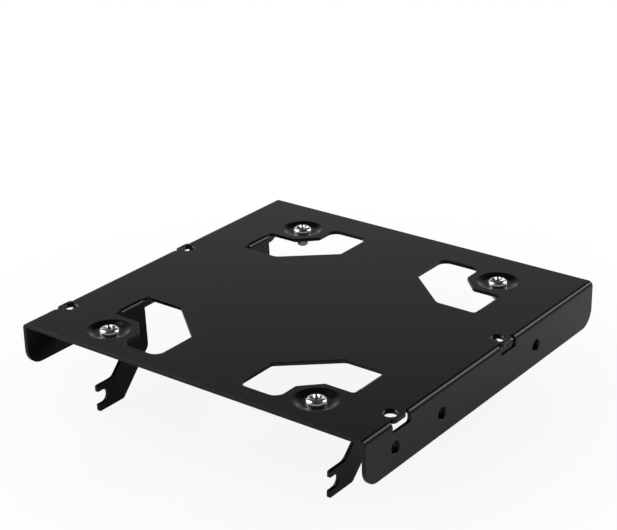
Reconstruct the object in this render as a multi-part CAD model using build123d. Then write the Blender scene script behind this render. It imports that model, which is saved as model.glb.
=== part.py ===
from build123d import *
import math
import os

# Drive bay adapter bracket: one steel sheet folded into a shallow upside-down channel, with four
# forked arms cut out of its plate and folded down, and the four screws that sit in its dimples.
# Millimetres, +Z up, X across, -Y the front. The origin is at the middle of the base,
# on the plane that the four arms stand on.

# Sheet and folded body
sheet = 1.0
plate_width = 101.2
plate_depth = 99.5
total_height = 22.8
flange_height = 11.75
flange_corner_radius = 4.5
bend_radius = 1.3

# Dimples that the four screws sit in, a pattern set a little forward of the plate's middle
dimple_pitch_x = 61.72
dimple_pitch_y = 76.6
dimple_centre_y = -1.93
dimple_rim_diameter = 10.5
dimple_floor_diameter = 7.2
dimple_depth = 0.7
dimple_hole_diameter = 3.4

# Tapped holes for the bay's own screws, set out from the back edge
bay_pitch_x = 95.25
bay_pitch_y = 44.45
bay_hole_setback = 41.35
side_hole_setbacks = (28.2, 69.81, 88.2)
side_hole_drop = 6.45
tapped_diameter = 2.8
plate_mouth_chamfer = 0.45
flange_mouth_chamfer = 0.25
collar_diameter = 4.6
collar_height = 0.9

# Notch in the bend beside each bay hole, and the flat lobe that carries the hole's edge
notch_length = 6.8
notch_depth = 2.75
notch_corner = 0.6
lobe_length = 5.3
lobe_overhang = 2.7
lobe_corner = 1.2

# Windows left in the plate where the arms are folded out of it, measured from the dimples' centre
window_outer_x = 35.9
window_inner_x = 12.0
window_near_y = 19.0
window_far_y = 42.4
window_slant_x = 25.0
window_slant_y = 30.0
window_step_x = 23.3
window_step_y = 31.2
window_step_slant = 4.7
window_corner = 2.5
window_soft_corner = 0.8

# Arms: a straight root, a slanting neck and a forked end that is open away from the middle
arm_bend_x = 36.5
arm_root_near_y = 21.0
arm_root_far_y = 29.0
arm_elbow_drop = 12.5
arm_elbow_radius = 2.0
arm_heel_radius = 1.2
arm_throat_drop = 10.5
arm_throat_radius = 2.0
arm_neck_radius = 2.5
arm_springback = 2.1
prong_top_drop = 15.85
prong_tip_y = 40.0
prong_corner = 0.4
slot_drop = 19.2
slot_width = 3.4

# Screws, M3 x 4 with a low pan head, a cross recess and a plain neck as long as the sheet is thick
screw_diameter = 3.0
screw_length = 4.0
screw_neck_diameter = 2.6
screw_head_diameter = 5.0
screw_head_side = 0.6
screw_head_height = 1.25
screw_crown_diameter = 3.6
recess_width = 3.4
recess_floor_width = 1.5
recess_blade = 0.75
recess_depth = 1.0

# Degrees that each screw has been turned to, tightened
screw_turns = {"front_left": 50, "front_right": 37, "back_left": 41, "back_right": 32}

# How far a cutting shape runs past the face it starts from
over = 1.0

top = total_height
half_width = plate_width / 2
half_depth = plate_depth / 2
quarters = {"front_left": (-1, -1), "front_right": (1, -1), "back_left": (-1, 1), "back_right": (1, 1)}


def in_quarter(shape, sx, sy):
    """A right-hand back shape, mirrored into the quarter that the signs give round the dimples' centre."""
    if sx < 0:
        shape = mirror(shape, Plane.YZ)
    if sy < 0:
        shape = mirror(shape, Plane.XZ)
    return Pos(0, dimple_centre_y, 0) * shape


def outline(corner_list):
    """A closed face from corners given as (u, v, radius), with the radii rounded."""
    face = make_face(Polyline(*[(u, v) for u, v, _ in corner_list], close=True))
    for u, v, radius in corner_list:
        if radius:
            corner = face.vertices().sort_by_distance((u, v, 0))[0]
            face = fillet(corner, radius)
    return face


# Plate and side flanges: an upside-down channel whose flanges have round lower corners
def folded_channel():
    outer = outline([
        (-half_width, -flange_height, 0), (half_width, -flange_height, 0),
        (half_width, 0, bend_radius), (-half_width, 0, bend_radius)])
    inner_half = half_width - sheet
    inner = outline([
        (-inner_half, -flange_height - over, 0), (inner_half, -flange_height - over, 0),
        (inner_half, -sheet, bend_radius - sheet), (-inner_half, -sheet, bend_radius - sheet)])
    channel = extrude(Plane.XZ * (outer - inner), half_depth, both=True)
    side_view = outline([
        (-half_depth, -flange_height, flange_corner_radius),
        (half_depth, -flange_height, flange_corner_radius),
        (half_depth, over, 0), (-half_depth, over, 0)])
    return Pos(0, 0, top) * (channel & extrude(Plane.YZ * side_view, plate_width, both=True))


# Window of the right-hand back quarter: the flat arm's outline with a margin round it
def window():
    shape = outline([
        (window_outer_x, window_near_y, window_soft_corner),
        (window_slant_x, window_near_y, window_corner),
        (window_inner_x, window_slant_y, window_soft_corner),
        (window_inner_x, window_far_y, window_corner),
        (window_step_x, window_far_y, window_corner),
        (window_step_x, window_step_y + window_step_slant, window_soft_corner),
        (window_step_x + window_step_slant, window_step_y, window_soft_corner),
        (window_outer_x, window_step_y, window_soft_corner)])
    return Pos(0, 0, top) * extrude(shape, sheet + over, both=True)


# Arm of the right-hand back quarter: a folded strip, cut to the side view with its open slot.
# The window's edge is cut back to the start of the bend over the width of the arm's root.
def root_clearing():
    depth = arm_root_far_y - arm_root_near_y
    middle = Pos((window_outer_x + arm_bend_x) / 2, (arm_root_near_y + arm_root_far_y) / 2, top)
    return middle * Box(arm_bend_x - window_outer_x + over, depth, 2 * (sheet + over))


def arm():
    lean = math.radians(arm_springback)
    tangent = bend_radius * math.tan((math.pi / 2 - lean) / 2)
    fold_x = arm_bend_x - tangent
    foot_x = fold_x - (top + over) * math.tan(lean)
    inner_face = FilletPolyline(
        (arm_bend_x + over, top), (fold_x, top), (foot_x, -over), radius=bend_radius)
    strip = Plane.XZ * make_face(inner_face.offset_2d(sheet, side=Side.LEFT))
    return extrude(strip, plate_depth, both=True) & extrude(Plane.YZ * arm_side_view(), plate_width)


def arm_side_view():
    elbow_z = top - arm_elbow_drop
    throat_z = top - arm_throat_drop
    prong_z = top - prong_top_drop
    face = outline([
        (arm_root_near_y, top + over, 0),
        (arm_root_near_y, elbow_z, arm_elbow_radius),
        (arm_root_near_y + elbow_z, 0, arm_heel_radius),
        (prong_tip_y, 0, prong_corner),
        (prong_tip_y, prong_z, prong_corner),
        (arm_root_far_y + throat_z - prong_z, prong_z, arm_neck_radius),
        (arm_root_far_y, throat_z, arm_throat_radius),
        (arm_root_far_y, top + over, 0)])
    slot = Circle(slot_width / 2) + Pos(slot_width / 2, 0) * Rectangle(slot_width, slot_width)
    return face - Pos(dimple_pitch_y / 2, top - slot_drop) * slot


# Dimple: the sheet pressed down into a shallow dish, with the screw's clearance hole in its floor
def dimple():
    floor_r = dimple_floor_diameter / 2
    rim_r = dimple_rim_diameter / 2
    upper_face = Polyline(
        (dimple_hole_diameter / 2, -dimple_depth), (floor_r, -dimple_depth), (rim_r, 0), (rim_r + over, 0))
    section = make_face(upper_face.offset_2d(sheet, kind=Kind.INTERSECTION, side=Side.RIGHT))
    return revolve(Plane.XZ * section, Axis.Z)


def dimple_clearing():
    return Cylinder(dimple_rim_diameter / 2 + over, 2 * (sheet + over))


# Tapped hole, bored to the thread's core, with a chamfered mouth. A flange's holes have a collar too,
# drawn out of the sheet towards the inside.
def collar():
    height = sheet + collar_height
    return Cylinder(collar_diameter / 2, height, align=(Align.CENTER, Align.CENTER, Align.MAX))


def tapped_bore(mouth_chamfer):
    core_r = tapped_diameter / 2
    mouth_r = core_r + mouth_chamfer
    end = -(sheet + collar_height + over)
    section = make_face(Polyline(
        (0, over), (mouth_r, over), (mouth_r, 0), (core_r, -mouth_chamfer), (core_r, end), (0, end),
        close=True))
    return revolve(Plane.XZ * section, Axis.Z)


# Right-hand notch and lobe of a bay hole, on the line through the hole
def bend_notch():
    shape = outline([
        (-notch_length / 2, over, 0), (-notch_length / 2, -notch_depth, notch_corner),
        (notch_length / 2, -notch_depth, notch_corner), (notch_length / 2, over, 0)])
    return Pos(half_width - bend_radius, 0, 0) * extrude(Plane.YZ * shape, 2 * bend_radius)


def lobe():
    end_x = bay_pitch_x / 2 + lobe_overhang
    root_x = bay_pitch_x / 2 - lobe_overhang
    shape = outline([
        (root_x, -lobe_length / 2, 0), (end_x, -lobe_length / 2, lobe_corner),
        (end_x, lobe_length / 2, lobe_corner), (root_x, lobe_length / 2, 0)])
    return extrude(shape, -sheet)


def on_both_sides(shape):
    return [shape, mirror(shape, Plane.YZ)]


def bay_hole_ys():
    back_y = half_depth - bay_hole_setback
    return (back_y - bay_pitch_y, back_y)


def side_hole_places():
    """Places of the right-hand flange's holes, with local +Z along the way a bay screw comes out."""
    return [
        Pos(half_width, half_depth - setback, top - side_hole_drop) * Rot(0, 90, 0)
        for setback in side_hole_setbacks]


def dimple_points():
    return {
        name: (sx * dimple_pitch_x / 2, dimple_centre_y + sy * dimple_pitch_y / 2)
        for name, (sx, sy) in quarters.items()}


# Bracket: the channel, cut and built up in the order that the sheet is worked
def bracket():
    body = folded_channel()
    for sx, sy in quarters.values():
        body -= in_quarter(window(), sx, sy)
        body -= in_quarter(root_clearing(), sx, sy)
    for sx, sy in quarters.values():
        body += in_quarter(arm(), sx, sy)
    for x, y in dimple_points().values():
        body -= Pos(x, y, top) * dimple_clearing()
        body += Pos(x, y, top) * dimple()
    for y in bay_hole_ys():
        body -= on_both_sides(Pos(0, y, top) * bend_notch())
        body += on_both_sides(Pos(0, y, top) * lobe())
        body -= on_both_sides(Pos(bay_pitch_x / 2, y, top) * tapped_bore(plate_mouth_chamfer))
    for place in side_hole_places():
        body += on_both_sides(place * collar())
        body -= on_both_sides(place * tapped_bore(flange_mouth_chamfer))
    return body


# Screw: turned from one profile, seated at its own origin, with two crossing blades cut in its head
def mounting_screw():
    head_r = screw_head_diameter / 2
    neck_r = screw_neck_diameter / 2
    shank_r = screw_diameter / 2
    section = make_face(Polyline(
        (0, -screw_length), (shank_r, -screw_length), (shank_r, -sheet), (neck_r, -sheet), (neck_r, 0),
        (head_r, 0), (head_r, screw_head_side), (screw_crown_diameter / 2, screw_head_height),
        (0, screw_head_height), close=True))
    return revolve(Plane.XZ * section, Axis.Z) - recess_cut() - Rot(0, 0, 90) * recess_cut()


def recess_cut():
    floor_z = screw_head_height - recess_depth
    profile = make_face(Polyline(
        (-recess_width / 2, screw_head_height), (recess_width / 2, screw_head_height),
        (recess_floor_width / 2, floor_z), (-recess_floor_width / 2, floor_z), close=True))
    return extrude(Plane.XZ * profile, recess_blade / 2, both=True)


def write(node, shape):
    shape.label = node
    export_step(shape, os.path.join("parts", node + ".step"))


os.makedirs("parts", exist_ok=True)
write("bracket", bracket())
screw = mounting_screw()
for name, (x, y) in dimple_points().items():
    seated = Pos(x, y, top - dimple_depth) * Rot(0, 0, screw_turns[name]) * screw
    write("mounting_screw_" + name, seated)
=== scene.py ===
import bmesh
import bpy
import math
from mathutils import Matrix, Quaternion, Vector


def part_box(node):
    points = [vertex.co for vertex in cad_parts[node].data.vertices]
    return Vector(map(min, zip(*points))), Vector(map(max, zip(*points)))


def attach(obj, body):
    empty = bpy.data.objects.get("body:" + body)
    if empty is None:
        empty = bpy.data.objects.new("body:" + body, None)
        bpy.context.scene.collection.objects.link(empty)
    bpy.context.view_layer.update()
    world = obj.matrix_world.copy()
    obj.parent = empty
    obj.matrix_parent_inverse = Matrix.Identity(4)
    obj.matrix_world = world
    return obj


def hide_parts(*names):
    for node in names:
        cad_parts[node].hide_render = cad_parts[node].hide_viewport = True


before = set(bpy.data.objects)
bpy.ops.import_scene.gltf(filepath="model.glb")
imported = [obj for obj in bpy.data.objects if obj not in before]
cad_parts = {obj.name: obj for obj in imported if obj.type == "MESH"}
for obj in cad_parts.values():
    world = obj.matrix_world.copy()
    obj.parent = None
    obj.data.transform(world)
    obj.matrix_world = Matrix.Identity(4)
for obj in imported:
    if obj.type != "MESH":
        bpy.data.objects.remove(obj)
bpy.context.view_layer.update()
scene = bpy.context.scene

# Bracket
# One sheet of 1 mm steel: its outline, windows and arms are punched, its dimples and screw collars
# are pressed, and then it is folded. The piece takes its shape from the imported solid, and the
# cut and pressed edges get the small radius that the punch and the paint leave.
mm = 0.001
sheet = 1.0 * mm
plate_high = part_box("bracket")[1]
plate_top = plate_high.z
weld_distance = 0.001 * mm
flat_angle = math.radians(0.3)
cut_angle = math.radians(38)
cut_edge_setback = 0.13 * mm
cut_edge_steps = 3
pressed_angle = math.radians(12)
pressed_edge_setback = 0.30 * mm
pressed_edge_steps = 4

dimple_side = 30.86 * mm
dimple_front, dimple_back = -40.23 * mm, 36.37 * mm
dimple_spots = [(x, y) for x in (-dimple_side, dimple_side) for y in (dimple_front, dimple_back)]
dimple_reach = 6.0 * mm
dimple_middle = (dimple_front + dimple_back) / 2
arm_sides = (21.0 * mm, 29.0 * mm)
corner_reach = 0.02 * mm
window_side = 35.89 * mm
bend_start = 36.55 * mm
corner_low = plate_top - 0.2 * mm


def cad_mesh(node):
    """The node's mesh with its flat faces made whole again."""
    shape = bmesh.new()
    shape.from_mesh(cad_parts[node].data)
    bmesh.ops.remove_doubles(shape, verts=shape.verts, dist=weld_distance)
    bmesh.ops.dissolve_limit(
        shape, angle_limit=flat_angle, verts=shape.verts, edges=shape.edges, delimit={"NORMAL"})
    return shape


def edges_between(shape, low, high):
    """Edges whose two faces meet at an angle in the given range."""
    return [e for e in shape.edges if e.is_manifold and low < e.calc_face_angle() < high]


def in_a_dimple(edge):
    """Whether the edge lies in one of the four pressed dimples."""
    middle = (edge.verts[0].co + edge.verts[1].co) / 2
    return any(math.hypot(middle.x - x, middle.y - y) < dimple_reach for x, y in dimple_spots)


def in_a_root_corner(edge):
    """The sliver of plate edge that stands up beside the start of an arm's bend."""
    middle = (edge.verts[0].co + edge.verts[1].co) / 2
    in_y = min(abs(abs(middle.y - dimple_middle) - side) for side in arm_sides) < corner_reach
    return in_y and window_side <= abs(middle.x) < bend_start and middle.z > corner_low


def round_edges(shape, edges, setback, steps):
    """Turn the edges into small fillets of the given setback."""
    bmesh.ops.bevel(
        shape, geom=edges, offset=setback, segments=steps, profile=0.5, affect="EDGES",
        clamp_overlap=False)


def add_piece(name, shape, material):
    """A new piece that rides with the bracket, made from the shape."""
    mesh = bpy.data.meshes.new(name)
    shape.to_mesh(mesh)
    shape.free()
    mesh.shade_smooth()
    mesh.materials.append(material)
    piece = bpy.data.objects.new(name, mesh)
    scene.collection.objects.link(piece)
    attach(piece, "root")
    return piece


def powder_paint():
    """Black powder paint with a satin skin: fine grain, and a tone that drifts a little."""
    material = bpy.data.materials.new("black powder paint")
    material.use_nodes = True
    nodes = material.node_tree.nodes
    links = material.node_tree.links
    paint = nodes["Principled BSDF"]
    place = nodes.new("ShaderNodeTexCoord")
    cloud = nodes.new("ShaderNodeTexNoise")
    cloud.inputs["Scale"].default_value = 60
    cloud.inputs["Detail"].default_value = 4
    links.new(place.outputs["Object"], cloud.inputs["Vector"])
    tone = nodes.new("ShaderNodeValToRGB")
    tone.color_ramp.elements[0].color = (0.0026, 0.0026, 0.0027, 1)
    tone.color_ramp.elements[1].color = (0.0038, 0.0038, 0.0039, 1)
    links.new(cloud.outputs["Fac"], tone.inputs["Fac"])
    links.new(tone.outputs["Color"], paint.inputs["Base Color"])
    grain = nodes.new("ShaderNodeTexNoise")
    grain.inputs["Scale"].default_value = 1800
    grain.inputs["Detail"].default_value = 2
    links.new(place.outputs["Object"], grain.inputs["Vector"])
    rough = nodes.new("ShaderNodeMapRange")
    rough.inputs["To Min"].default_value = 0.19
    rough.inputs["To Max"].default_value = 0.25
    links.new(grain.outputs["Fac"], rough.inputs["Value"])
    links.new(rough.outputs["Result"], paint.inputs["Roughness"])
    bump = nodes.new("ShaderNodeBump")
    bump.inputs["Strength"].default_value = 0.3
    bump.inputs["Distance"].default_value = 0.00002
    links.new(grain.outputs["Fac"], bump.inputs["Height"])
    links.new(bump.outputs["Normal"], paint.inputs["Normal"])
    paint.inputs["Specular IOR Level"].default_value = 0.3
    return material


# The bay's own 6-32 screws run in ten holes: four in the plate, whose thread is cut in the bare
# sheet, and three in each flange, whose thread runs on through a collar drawn out of the sheet.
core_radius = 1.4 * mm
core_tolerance = 0.03 * mm
thread_pitch = 0.794 * mm
thread_depth = 0.28 * mm
thread_fade = 0.12 * mm
thread_step = 0.06 * mm
shortest_wall = 0.2 * mm
bore_reach = 2.2 * mm
plate_hole_side = 47.625 * mm
plate_hole_ys = (-36.05 * mm, 8.40 * mm)
flange_face = plate_high.x
flange_hole_height = plate_top - 6.45 * mm
flange_hole_ys = (21.55 * mm, -20.06 * mm, -38.45 * mm)
tapped_holes = [
    (Vector((side * plate_hole_side, y, plate_top)), Vector((0, 0, 1)))
    for side in (-1, 1) for y in plate_hole_ys]
tapped_holes += [
    (Vector((side * flange_face, y, flange_hole_height)), Vector((side, 0, 0)))
    for side in (-1, 1) for y in flange_hole_ys]


def from_axis(point, mouth, axis):
    """Distance along a hole's axis, and the vector out from the axis to the point."""
    along = (point - mouth).dot(axis)
    return along, point - mouth - axis * along


def on_bore(edge, mouth, axis):
    """Whether the edge runs along the wall of this hole's bore."""
    ends = [from_axis(v.co, mouth, axis) for v in edge.verts]
    if any(abs(along) > bore_reach or abs(out.length - core_radius) > core_tolerance
           for along, out in ends):
        return False
    return abs(ends[0][0] - ends[1][0]) > shortest_wall


def ridge(turn):
    """0 on the thread's crest and 1 in its root, for a place counted in turns."""
    return 1 - abs(2 * (turn % 1) - 1)


def tap(shape, mouth, axis):
    """Cut a thread into the bore's wall, faded out at both ends."""
    walls = [e for e in shape.edges if on_bore(e, mouth, axis)]
    length = max(e.calc_length() for e in walls)
    cuts = bmesh.ops.subdivide_edges(
        shape, edges=walls, cuts=round(length / thread_step), use_grid_fill=True)
    points = [v for v in cuts["geom_inner"] if isinstance(v, bmesh.types.BMVert)]
    places = [from_axis(v.co, mouth, axis) for v in points]
    first = min(along for along, _ in places)
    last = max(along for along, _ in places)
    across = axis.orthogonal()
    other = axis.cross(across)
    for point, (along, out) in zip(points, places):
        angle = math.atan2(out.dot(other), out.dot(across))
        from_end = min(along - first, last - along)
        fade = min(1, from_end / thread_fade)
        turn = along / thread_pitch + angle / math.tau
        point.co += out.normalized() * (thread_depth * fade * ridge(turn))


paint = powder_paint()
shape = cad_mesh("bracket")
pressed_edges = [e for e in edges_between(shape, pressed_angle, cut_angle) if in_a_dimple(e)]
round_edges(shape, pressed_edges, pressed_edge_setback, pressed_edge_steps)
cut_edges = [
    e for e in edges_between(shape, cut_angle, math.pi) if e.is_convex and not in_a_root_corner(e)]
round_edges(shape, cut_edges, cut_edge_setback, cut_edge_steps)
for mouth, axis in tapped_holes:
    tap(shape, mouth, axis)
bracket = add_piece("folded_bracket", shape, paint)
weighted = bracket.modifiers.new("flat faces stay flat", "WEIGHTED_NORMAL")
weighted.mode = "FACE_AREA"
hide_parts("bracket")

# Mounting screws
# Four M3 by 4 mm screws, headed and rolled from steel wire and bright zinc plated. Each is turned
# down into its dimple, and the cross in its head has stopped at its own angle.
dimple_depth = 0.7 * mm
screw_seat = plate_top - dimple_depth
head_radius = 2.5 * mm
head_height = 1.25 * mm
head_foot_round = 0.05 * mm
head_foot_corner = 0.3 * head_foot_round
crown_radius = 9.0 * mm
crown_reach = 1.65 * mm
crown_rings = 6
rim_rings = 12
neck_radius = 1.3 * mm
shank_radius = 1.5 * mm
shank_length = 4.0 * mm
screw_pitch = 0.5 * mm
screw_thread_depth = 0.3 * mm
screw_thread_step = 0.0625 * mm
screw_run_in = 0.3 * mm
screw_end_chamfer = 0.35 * mm
around = 72

cross_reach = 1.95 * mm
cross_blade = 0.33 * mm
cross_waist = 0.92 * mm
cross_floor = 0.08 * mm
cross_floor_reach = 0.90 * mm
cross_floor_blade = 0.14 * mm
cross_floor_waist = 0.30 * mm
cross_edge_setback = 0.05 * mm
cross_edge_angle = math.radians(28)
cross_edge_steps = 2
punch_clearance = 0.1 * mm
screw_turns = {"front_left": 50, "front_right": 37, "back_left": 41, "back_right": 32}
screw_spots = {
    "front_left": dimple_spots[0], "back_left": dimple_spots[1],
    "front_right": dimple_spots[2], "back_right": dimple_spots[3]}


def head_profile():
    """Radii and heights of the rings, from just off the crown's middle down to the neck's end.

    The head has a flat crown and a round rim that meets it smoothly.
    """
    crown_end = math.asin(crown_reach / crown_radius)
    rim_radius = (head_radius - crown_reach) / (1 - math.sin(crown_end))
    rim_top = head_height - crown_radius * (1 - math.cos(crown_end))
    rings = []
    for k in range(1, crown_rings + 1):
        angle = crown_end * k / crown_rings
        drop = crown_radius * (1 - math.cos(angle))
        rings.append((crown_radius * math.sin(angle), head_height - drop))
    for k in range(1, rim_rings + 1):
        angle = crown_end + (math.pi / 2 - crown_end) * k / rim_rings
        out = rim_radius * (math.sin(angle) - math.sin(crown_end))
        drop = rim_radius * (math.cos(crown_end) - math.cos(angle))
        rings.append((crown_reach + out, rim_top - drop))
    rings.append((head_radius - head_foot_corner, head_foot_corner))
    rings.append((head_radius - head_foot_round, 0))
    rings.append((neck_radius, 0))
    rings.append((neck_radius, -sheet))
    return rings


def shank_radius_at(depth, angle):
    """The rolled thread's radius, with its run-in under the neck and its chamfered end."""
    turn = depth / screw_pitch + angle / math.tau
    radius = shank_radius - screw_thread_depth * ridge(turn)
    run_in = min(1, (depth - sheet) / screw_run_in)
    radius = neck_radius + (radius - neck_radius) * run_in
    end_cone = shank_radius - screw_end_chamfer + (shank_length - depth)
    return min(radius, end_cone)


def screw_blank():
    """The headed and rolled screw before its recess, standing on its seat at height 0."""
    blank = bmesh.new()
    angles = [math.tau * k / around for k in range(around)]
    rings = [[(radius, height)] * around for radius, height in head_profile()]
    steps = round((shank_length - sheet) / screw_thread_step)
    for k in range(1, steps + 1):
        depth = sheet + (shank_length - sheet) * k / steps
        rings.append([(shank_radius_at(depth, a), -depth) for a in angles])
    crown = blank.verts.new((0, 0, head_height))
    end = blank.verts.new((0, 0, -shank_length))
    loops = [
        [blank.verts.new((r * math.cos(a), r * math.sin(a), z)) for (r, z), a in zip(ring, angles)]
        for ring in rings]
    for k in range(around):
        after = (k + 1) % around
        blank.faces.new((crown, loops[0][k], loops[0][after]))
        blank.faces.new((end, loops[-1][after], loops[-1][k]))
        for upper, lower in zip(loops, loops[1:]):
            blank.faces.new((upper[k], lower[k], lower[after], upper[after]))
    bmesh.ops.recalc_face_normals(blank, faces=blank.faces)
    return blank


def cross_outline(reach, blade, waist, height, turn):
    """The twelve corners of a four-winged cross at the given height."""
    corners = []
    for wing in range(4):
        spin = Matrix.Rotation(turn + wing * math.pi / 2, 3, "Z")
        for x, y in ((reach, -blade), (reach, blade), (waist, waist)):
            corners.append(spin @ Vector((x, y, height)))
    return corners


def cross_punch(turn):
    """The tapered punch that forms a cross recess, with flutes between its four wings."""
    punch = bmesh.new()
    upper = [punch.verts.new(c) for c in cross_outline(
        cross_reach, cross_blade, cross_waist, head_height + punch_clearance, turn)]
    lower = [punch.verts.new(c) for c in cross_outline(
        cross_floor_reach, cross_floor_blade, cross_floor_waist, cross_floor, turn)]
    count = len(upper)
    punch.faces.new(upper)
    punch.faces.new(list(reversed(lower)))
    for k in range(count):
        after = (k + 1) % count
        punch.faces.new((upper[k], lower[k], lower[after], upper[after]))
    bmesh.ops.recalc_face_normals(punch, faces=punch.faces)
    mesh = bpy.data.meshes.new("cross_punch")
    punch.to_mesh(mesh)
    punch.free()
    tool = bpy.data.objects.new("cross_punch", mesh)
    scene.collection.objects.link(tool)
    return tool


def in_head(edge):
    """Whether the edge lies in the screw's head, above the recess's floor."""
    return all(v.co.z > cross_floor / 2 for v in edge.verts)


def zinc_plate():
    """Bright zinc, a little mottled where the plating is thicker."""
    material = bpy.data.materials.new("bright zinc plate")
    material.use_nodes = True
    nodes = material.node_tree.nodes
    links = material.node_tree.links
    metal = nodes["Principled BSDF"]
    metal.inputs["Metallic"].default_value = 1.0
    place = nodes.new("ShaderNodeTexCoord")
    mottle = nodes.new("ShaderNodeTexNoise")
    mottle.inputs["Scale"].default_value = 900
    mottle.inputs["Detail"].default_value = 3
    links.new(place.outputs["Object"], mottle.inputs["Vector"])
    tone = nodes.new("ShaderNodeValToRGB")
    tone.color_ramp.elements[0].color = (0.82, 0.82, 0.81, 1)
    tone.color_ramp.elements[1].color = (0.95, 0.95, 0.94, 1)
    links.new(mottle.outputs["Fac"], tone.inputs["Fac"])
    links.new(tone.outputs["Color"], metal.inputs["Base Color"])
    rough = nodes.new("ShaderNodeMapRange")
    rough.inputs["To Min"].default_value = 0.16
    rough.inputs["To Max"].default_value = 0.28
    links.new(mottle.outputs["Fac"], rough.inputs["Value"])
    links.new(rough.outputs["Result"], metal.inputs["Roughness"])
    return material


zinc = zinc_plate()
for corner, (x, y) in screw_spots.items():
    piece = add_piece("zinc_screw_" + corner, screw_blank(), zinc)
    tool = cross_punch(math.radians(screw_turns[corner]))
    recess = piece.modifiers.new("cross recess", "BOOLEAN")
    recess.object = tool
    recess.solver = "EXACT"
    bpy.context.view_layer.objects.active = piece
    bpy.ops.object.modifier_apply(modifier=recess.name)
    bpy.data.objects.remove(tool)
    shape = bmesh.new()
    shape.from_mesh(piece.data)
    sharp = [e for e in edges_between(shape, cross_edge_angle, math.pi) if in_head(e)]
    bmesh.ops.bevel(
        shape, geom=sharp, offset=cross_edge_setback, segments=cross_edge_steps, profile=0.5,
        affect="EDGES", clamp_overlap=True)
    shape.transform(Matrix.Translation((x, y, screw_seat)))
    shape.to_mesh(piece.data)
    shape.free()
    piece.data.shade_smooth()
    even = piece.modifiers.new("flat faces stay flat", "WEIGHTED_NORMAL")
    even.mode = "FACE_AREA"
    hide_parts("mounting_screw_" + corner)

# Studio
# A white paper sweep on a table in a dim room. Two soft boxes hang behind the bracket's right side
# and at its left, two strips stand low, and the camera looks down on its front right corner.
table_size = 4.0
table_gap = 0.05 * mm
shadow_reach = (0.03, 0.13)
shadow_white = 0.9
mirrored_near = (0.035, 0.085)
mirrored_near_white = (0.1, 0.32)
mirrored_far = (0.35, 0.9)
mirrored_far_white = 0.15
bpy.ops.mesh.primitive_plane_add(size=table_size)
table = bpy.context.object
table.name = "table_top"
table.location.z = -table_gap


def math_node(nodes, links, operation, first, second):
    node = nodes.new("ShaderNodeMath")
    node.operation = operation
    for socket, value in zip(node.inputs, (first, second)):
        if isinstance(value, (int, float)):
            socket.default_value = value
        else:
            links.new(value, socket)
    return node.outputs["Value"]


def smooth_range(nodes, links, value, start, end, low, high):
    node = nodes.new("ShaderNodeMapRange")
    node.interpolation_type = "SMOOTHSTEP"
    node.inputs["From Min"].default_value = start
    node.inputs["From Max"].default_value = end
    node.inputs["To Min"].default_value = low
    node.inputs["To Max"].default_value = high
    links.new(value, node.inputs["Value"])
    return node.outputs["Result"]


def table_paper():
    """White paper that keeps a soft shadow round the bracket and is plain white further out.

    Mirrored in the bracket it is dim close by, lighter further out and dim again far away.
    """
    material = bpy.data.materials.new("white paper")
    material.use_nodes = True
    nodes = material.node_tree.nodes
    links = material.node_tree.links
    paper = nodes["Principled BSDF"]
    paper.inputs["Base Color"].default_value = (0.9, 0.9, 0.9, 1)
    paper.inputs["Roughness"].default_value = 0.9
    paper.inputs["Specular IOR Level"].default_value = 0.1
    glow = nodes.new("ShaderNodeEmission")
    path = nodes.new("ShaderNodeLightPath")
    place = nodes.new("ShaderNodeTexCoord")
    reach = nodes.new("ShaderNodeVectorMath")
    reach.operation = "LENGTH"
    links.new(place.outputs["Object"], reach.inputs[0])
    distance = reach.outputs["Value"]
    direct = math_node(
        nodes, links, "MAXIMUM", path.outputs["Is Camera Ray"], path.outputs["Is Transmission Ray"])
    straight = math_node(
        nodes, links, "MULTIPLY", direct,
        smooth_range(nodes, links, distance, *shadow_reach, shadow_white, 1))
    near = smooth_range(nodes, links, distance, *mirrored_near, *mirrored_near_white)
    far = smooth_range(nodes, links, distance, *mirrored_far, 1, mirrored_far_white)
    around = math_node(nodes, links, "MULTIPLY", near, far)
    mirrored = math_node(nodes, links, "MULTIPLY", path.outputs["Is Glossy Ray"], around)
    blend = nodes.new("ShaderNodeMixShader")
    links.new(math_node(nodes, links, "MAXIMUM", straight, mirrored), blend.inputs["Fac"])
    links.new(paper.outputs["BSDF"], blend.inputs[1])
    links.new(glow.outputs["Emission"], blend.inputs[2])
    links.new(blend.outputs["Shader"], nodes["Material Output"].inputs["Surface"])
    return material


table.data.materials.append(table_paper())

room_tones = [
    (0.0, 0.18), (0.28, 0.30), (0.34, 0.42), (0.37, 0.39), (0.42, 0.27), (0.50, 0.26), (0.57, 0.03),
    (1.0, 0.03)]
sweep_middle = Vector((-0.607, 0.794, 0))
sweep_edges = (0.75, 0.93)
sweep_top = (0.10, 0.24)
lamp_distance = 0.9


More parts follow.
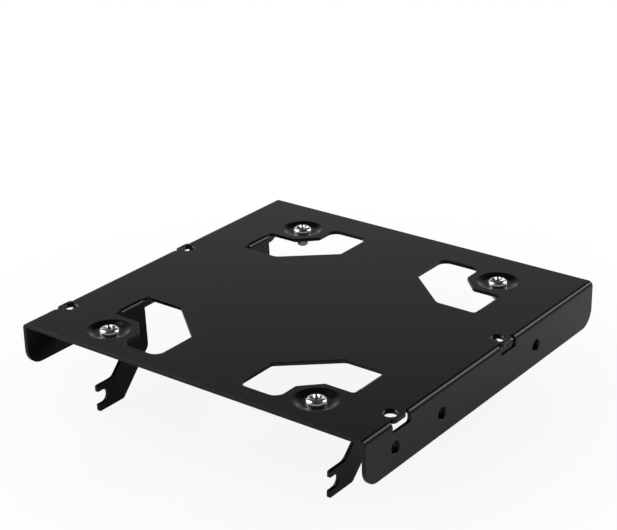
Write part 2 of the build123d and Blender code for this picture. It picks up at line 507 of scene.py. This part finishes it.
def studio_world():
    """A room that darkens upwards, with the white sweep low behind the bracket.

    Straight to the camera it is the white of the paper all round.
    """
    world = bpy.data.worlds.new("studio")
    world.use_nodes = True
    nodes = world.node_tree.nodes
    links = world.node_tree.links
    room = nodes["Background"]
    white = nodes.new("ShaderNodeBackground")
    white.inputs["Color"].default_value = (1, 1, 1, 1)
    place = nodes.new("ShaderNodeTexCoord")
    split = nodes.new("ShaderNodeSeparateXYZ")
    links.new(place.outputs["Generated"], split.inputs["Vector"])
    tone = nodes.new("ShaderNodeValToRGB")
    ramp = tone.color_ramp
    while len(ramp.elements) < len(room_tones):
        ramp.elements.new(0.5)
    for element, (height, level) in zip(ramp.elements, room_tones):
        element.position = height
        element.color = (level, level, level, 1)
    links.new(split.outputs["Z"], tone.inputs["Fac"])
    links.new(tone.outputs["Color"], room.inputs["Color"])
    path = nodes.new("ShaderNodeLightPath")
    side = nodes.new("ShaderNodeVectorMath")
    side.operation = "DOT_PRODUCT"
    side.inputs[1].default_value = sweep_middle
    links.new(place.outputs["Generated"], side.inputs[0])
    ahead = smooth_range(nodes, links, side.outputs["Value"], *sweep_edges, 0, 1)
    low = smooth_range(nodes, links, split.outputs["Z"], *sweep_top, 1, 0)
    sweep = math_node(nodes, links, "MULTIPLY", ahead, low)
    mirrored = math_node(nodes, links, "MULTIPLY", path.outputs["Is Glossy Ray"], sweep)
    direct = math_node(
        nodes, links, "MAXIMUM", path.outputs["Is Camera Ray"], path.outputs["Is Transmission Ray"])
    blend = nodes.new("ShaderNodeMixShader")
    links.new(math_node(nodes, links, "MAXIMUM", direct, mirrored), blend.inputs["Fac"])
    links.new(room.outputs["Background"], blend.inputs[1])
    links.new(white.outputs["Background"], blend.inputs[2])
    links.new(blend.outputs["Shader"], nodes["World Output"].inputs["Surface"])
    return world


scene.world = studio_world()


def softbox(name, direction, width, height, radiance):
    """A lamp panel that faces the object; its power gives the panel the stated radiance."""
    lamp = bpy.data.lights.new(name, "AREA")
    lamp.shape = "RECTANGLE"
    lamp.size = width
    lamp.size_y = height
    lamp.energy = radiance * math.pi * width * height
    box = bpy.data.objects.new(name, lamp)
    scene.collection.objects.link(box)
    toward = Vector(direction).normalized()
    box.location = toward * lamp_distance
    box.visible_camera = False
    box.rotation_mode = "QUATERNION"
    box.rotation_quaternion = (-toward).to_track_quat("-Z", "Y")


softbox("lamp_back_right", (0.38, 0.71, 0.59), width=0.28, height=0.42, radiance=4.0)
softbox("lamp_left", (-0.72, -0.30, 0.63), width=0.58, height=0.72, radiance=3.4)
softbox("strip_low_right", (0.28, 0.93, 0.24), width=0.32, height=0.12, radiance=3.0)
softbox("strip_low_left", (-0.97, -0.02, 0.24), width=0.32, height=0.12, radiance=3.0)

image_sensor = 36
lens_length = 96.977
view_azimuth = math.radians(37.384)
view_elevation = math.radians(23.578)
view_roll = math.radians(1.171)
view_distance = 430.32 * mm
aim = Vector((-14.571 * mm, 17.389 * mm, plate_top))
back = Vector((
    math.sin(view_azimuth) * math.cos(view_elevation),
    -math.cos(view_azimuth) * math.cos(view_elevation),
    math.sin(view_elevation)))
lens = bpy.data.cameras.new("camera")
lens.sensor_width = image_sensor
lens.lens = lens_length
lens.clip_start = 0.01
camera = bpy.data.objects.new("camera", lens)
scene.collection.objects.link(camera)
camera.location = aim + back * view_distance
camera.rotation_mode = "QUATERNION"
camera.rotation_quaternion = (-back).to_track_quat("-Z", "Y") @ Quaternion((0, 0, 1), -view_roll)
scene.camera = camera
scene.view_settings.view_transform = "Standard"
